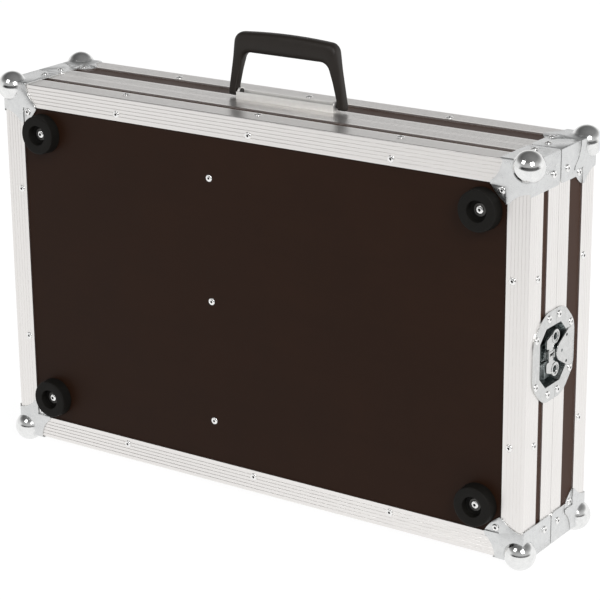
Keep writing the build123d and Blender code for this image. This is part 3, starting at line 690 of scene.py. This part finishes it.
def foam_pad(name, low, high, face, swing, cut_ends):
    """Foam pad worked this deep on the side face (+1 or -1 in Y), with the corners of its ends cut off."""
    back_y, top_y = (low.y, high.y) if face > 0 else (high.y, low.y)
    across, tall = high.x - low.x, high.z - low.z
    work = bmesh.new()
    columns, rows = round(across / FOAM_STEP), round(tall / FOAM_STEP)
    bmesh.ops.create_grid(work, x_segments=columns, y_segments=rows, size=0.5)
    middle = (low + high) / 2
    for vert in work.verts:
        vert.co = Vector((middle.x + vert.co.x * across, top_y, middle.z + vert.co.y * tall))
    cuts = []
    for i in cut_ends:
        for k in (-1, 1):
            corner = Vector((high.x if i > 0 else low.x, top_y, high.z if k > 0 else low.z))
            away = Vector((i, 0, k)).normalized()
            on = corner - Vector((i * FOAM_CORNER, 0, 0))
            cuts.append((on, away))
            whole = work.verts[:] + work.edges[:] + work.faces[:]
            bmesh.ops.bisect_plane(work, geom=whole, plane_co=on, plane_no=away, clear_outer=True)
    rim = [edge for edge in work.edges if edge.is_boundary]
    walls = bmesh.ops.extrude_edge_only(work, edges=rim)["geom"]
    lower = {g for g in walls if isinstance(g, bmesh.types.BMVert)}
    for vert in lower:
        vert.co.y = back_y
    bmesh.ops.contextual_create(work, geom=[
        g for g in walls if isinstance(g, bmesh.types.BMEdge) and lower.issuperset(g.verts)])
    for vert in work.verts:
        if vert in lower:
            continue
        inset = min(vert.co.x - low.x, high.x - vert.co.x, vert.co.z - low.z, high.z - vert.co.z,
                    *((on - vert.co).dot(away) for on, away in cuts))
        fade = min(1.0, max(0.0, inset / EDGE_ROUND))
        rounding = (1 - (1 - (1 - fade) ** 2) ** 0.5) * EDGE_SOFTNESS * EDGE_ROUND
        wave = 0.5 + 0.25 * (cos(2 * pi * vert.co.x / PEAK_PITCH) + cos(2 * pi * vert.co.z / PEAK_PITCH))
        drop = swing * (1 - wave) * min(1.0, inset / (2 * EDGE_ROUND)) + rounding
        vert.co.y = top_y - face * drop
    bmesh.ops.recalc_face_normals(work, faces=work.faces)
    return applied(modelled(name + "_raw", work, foam), name, 50.0)


pads = sorted(islands("base_foam"), key=lambda corners: corners[0].x)
for name, (low, high), ends in (("base_foam_left", pads[0], (-1,)), ("base_foam_right", pads[1], (1,))):
    pad = foam_pad(name, low, high, 1, RIB_DEPTH, ends)
    mounted(pad, "base", "base_foam")
low, high = islands("lid_foam")[0]
lid_pad = foam_pad("lid_foam_convoluted", low, high, -1, PEAK_DEPTH, (-1, 1))
mounted(lid_pad, "lid", "lid_foam")

# Studio: a pale sweep that reads as white, two soft lamps high in front and a bright surround.
# Mirror-like metal also sees a dark strip of room beyond the sweep, on the camera's side.
TOWARDS_CAMERA = (0.566, -0.824)
SWEEP_ENDS = (1.6, 2.8)
FLOOR_HALF = 12.0
PURE_WHITE = 1.14


def towards_camera(x, y):
    """How far a place lies, or a direction points, to the camera's side."""
    return x * TOWARDS_CAMERA[0] + y * TOWARDS_CAMERA[1]


def seen_by(tree):
    """1 for rays from the camera, and 1 for rays off a shiny surface."""
    rays = tree.nodes.new("ShaderNodeLightPath")
    return Wire(tree, rays.outputs["Is Camera Ray"]), Wire(tree, rays.outputs["Is Glossy Ray"])


floor_material, tree, shader, place = begin("studio_floor", Roughness=0.9, Base_Color=(0.8, 0.8, 0.8, 1))
for_camera, for_gloss = seen_by(tree)
sideways, forwards, _ = split(tree, place)
# The camera sees the floor glow to pure white, with a share of its matt surface left for the shadow.
# Metal sees it glow too, until the sweep ends.
gone = add(tree, "ShaderNodeMapRange", {"interpolation_type": "SMOOTHSTEP"}, {
    0: towards_camera(sideways, forwards), 1: SWEEP_ENDS[0], 2: SWEEP_ENDS[1]})
glow = add(tree, "ShaderNodeEmission", None, {
    "Color": (1, 1, 1, 1), "Strength": for_camera * PURE_WHITE + for_gloss * (1.04 - 0.98 * gone)})
matt = Wire(tree, shader.outputs[0])
surface = add(tree, "ShaderNodeMixShader", None, {0: for_camera * 0.8 + for_gloss * 0.9, 1: matt, 2: glow})
tree.links.new(surface.socket, tree.nodes["Material Output"].inputs["Surface"])
work = bmesh.new()
bmesh.ops.create_grid(work, x_segments=1, y_segments=1, size=FLOOR_HALF)
modelled("studio_floor", work, floor_material)

world = bpy.data.worlds.new("studio")
bpy.context.scene.world = world
world.use_nodes = True
tree = world.node_tree
for_camera, for_gloss = seen_by(tree)
across, depth, height = split(tree, add(tree, "ShaderNodeTexCoord", None, None, "Generated"))
facing = add(tree, "ShaderNodeMapRange", {"interpolation_type": "SMOOTHSTEP"}, {
    0: towards_camera(across, depth), 1: 0.1, 2: 0.6})
# Brightness of the room in mirrors, from the horizon at 0.5 up to 1 overhead: first the wall behind
# the case, then the side where the camera stands.
level = height * 0.5 + 0.5
behind = ramp(tree, level, (0.5, 1.0), (0.64, 0.95), (0.74, 0.36), (0.86, 0.18), (1.0, 0.2))
before = ramp(tree, level, (0.5, 0.05), (0.565, 0.06), (0.6, 0.5), (0.76, 0.42), (0.86, 0.14), (1.0, 0.2))
mirrored = behind * (1 - facing) + before * facing + 0.1 * across
# Light that falls on the case from the room, most of it from its right.
lit = ramp(tree, across * 0.5 + 0.5, (0.0, 0.3), (0.5, 0.38), (1.0, 1.9))
strength = for_camera + for_gloss * mirrored + (1 - for_camera) * (1 - for_gloss) * lit
tree.links.new(strength.socket, tree.nodes["Background"].inputs["Strength"])
tree.nodes["Background"].inputs["Color"].default_value = (1, 1, 1, 1)

LAMP_SIZE = 1.1
LAMP_AIM = (0, 0, 0.25)


def lamp(name, place, watts):
    """A soft square lamp that looks at the middle of the case."""
    light = bpy.data.lights.new(name, "AREA")
    light.shape, light.size, light.energy = "SQUARE", LAMP_SIZE, watts
    obj = linked(name, light)
    obj.location = place
    obj.rotation_euler = (Vector(LAMP_AIM) - Vector(place)).to_track_quat("-Z", "Y").to_euler()


lamp("key", (2.3, -1.5, 2.1), 40)
lamp("fill", (-0.55, -2.3, 2.5), 16)

# Camera: where the photograph was taken from, in the case's own frame. The position, direction, focal
# length and middle of the picture were fitted to the case's straight edges, feet and rivets.
CAMERA_AT = (1.5402, -2.2107, 1.1507)
VIEW_WAY = Vector((-0.53688, 0.78207, -0.31641)).normalized()
VIEW_RIGHT = Vector((0.82618, 0.56332, -0.00951))
FOCAL_PIXELS, FRAME_PIXELS = 2227.2, 600
MIDDLE_PIXEL = (300.42, 298.67)
camera = bpy.data.cameras.new("camera")
camera.sensor_width = 36.0
camera.lens = FOCAL_PIXELS / FRAME_PIXELS * camera.sensor_width
camera.shift_x = (FRAME_PIXELS / 2 - MIDDLE_PIXEL[0]) / FRAME_PIXELS
camera.shift_y = (MIDDLE_PIXEL[1] - FRAME_PIXELS / 2) / FRAME_PIXELS
camera.clip_end = 60.0
back = -VIEW_WAY
right = (VIEW_RIGHT - VIEW_RIGHT.dot(back) * back).normalized()
turn = Matrix((right, back.cross(right), back)).transposed()
eye = linked("camera", camera)
eye.matrix_world = Matrix.Translation(CAMERA_AT) @ turn.to_4x4()
bpy.context.scene.camera = eye
bpy.context.scene.view_settings.view_transform = "Standard"
